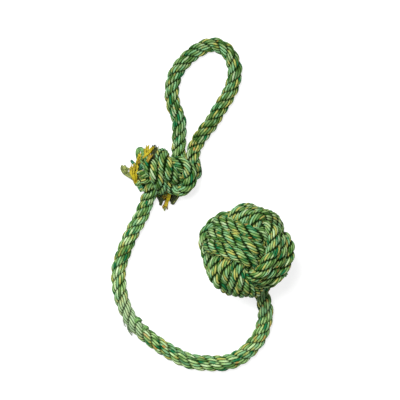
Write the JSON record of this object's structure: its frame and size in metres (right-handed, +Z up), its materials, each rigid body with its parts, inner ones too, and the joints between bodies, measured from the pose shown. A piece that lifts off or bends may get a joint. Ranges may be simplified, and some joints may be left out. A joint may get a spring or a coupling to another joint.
{
  "type": "monkey fist knot",
  "caption": "Monkey's fist tied round a ball in laid rope, on a short curved lead that ends in an overhand-style knot with frayed ends and a soft rope eye.",
  "frame": {"origin": "under the middle of the whole object, on the plane that it lies on", "axes": "+Z up from the plane the object lies on, +Y along the object's length from the fist's end towards the eye, +X towards the side that the fist lies on"},
  "size_m": [0.1536, 0.282, 0.0758],
  "materials": {
    "fist_core": "smooth",
    "fist_first_turns": "laid rope",
    "fist_second_turns": "laid rope",
    "fist_third_turns": "laid rope",
    "lead_rope": "laid rope",
    "knot_lead_end": "laid rope",
    "knot_left_leg_wraps": "laid rope",
    "eye_loop": "laid rope",
    "knot_right_leg": "laid rope",
    "left_fray_fringe": "loose strand",
    "left_fray_tuft": "loose strand",
    "left_fray_curl": "loose strand",
    "foot_fray_left": "loose strand",
    "foot_fray_right": "loose strand",
    "foot_fray_middle": "loose strand"
  },
  "bodies": {
    "root": {"fist_core": "fist_core", "fist_first_turns": "fist_first_turns", "fist_second_turns": "fist_second_turns", "fist_third_turns": "fist_third_turns", "lead_rope": "lead_rope", "knot_lead_end": "knot_lead_end", "knot_left_leg_wraps": "knot_left_leg_wraps", "eye_loop": "eye_loop", "knot_right_leg": "knot_right_leg", "left_fray_fringe": "left_fray_fringe", "left_fray_tuft": "left_fray_tuft", "left_fray_curl": "left_fray_curl", "foot_fray_left": "foot_fray_left", "foot_fray_right": "foot_fray_right", "foot_fray_middle": "foot_fray_middle"}
  },
  "joints": []
}
